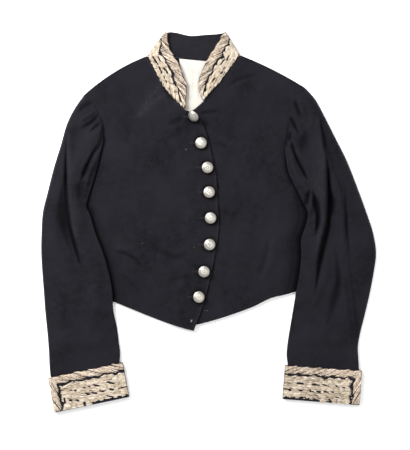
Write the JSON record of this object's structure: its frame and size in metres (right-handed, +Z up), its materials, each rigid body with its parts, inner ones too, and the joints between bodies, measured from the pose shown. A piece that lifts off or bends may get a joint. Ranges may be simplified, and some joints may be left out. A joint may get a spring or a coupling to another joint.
{
  "type": "military coatee",
  "caption": "Waist-length dark wool military coatee laid flat on its back, with a stand collar and turned-back cuffs worked in metal thread and domed buttons down the front.",
  "frame": {"origin": "centre of the footprint on the surface that the coatee lies on", "axes": "+X towards the wearer's left side, which is the viewer's right, +Y from the hem up to the collar, +Z up from the surface through the front"},
  "size_m": [0.6696, 0.7627, 0.024],
  "materials": {
    "wool": "fulled wool broadcloth, matte, with a faint nap",
    "lining": "cream plain-weave cotton",
    "embroidery": "pale gold metal thread laid over padding, aged, with a soft glint",
    "silver": "worn silvered metal, stamped in low relief"
  },
  "bodies": {
    "root": {"back": "wool", "front_right": "wool", "front_left": "wool", "sleeve_right_under": "wool", "sleeve_right_upper": "wool", "sleeve_left_under": "wool", "sleeve_left_upper": "wool", "cuff_right": "wool", "cuff_left": "wool", "collar": "wool", "back_neck_lining": "lining", "collar_right_border": "embroidery", "collar_right_field": "embroidery", "collar_left_border": "embroidery", "collar_left_field": "embroidery", "cuff_right_border": "embroidery", "cuff_right_field": "embroidery", "cuff_left_border": "embroidery", "cuff_left_field": "embroidery", "button_1": "silver", "button_2": "silver", "button_3": "silver", "button_4": "silver", "button_5": "silver", "button_6": "silver", "button_7": "silver", "button_8": "silver"}
  },
  "joints": []
}
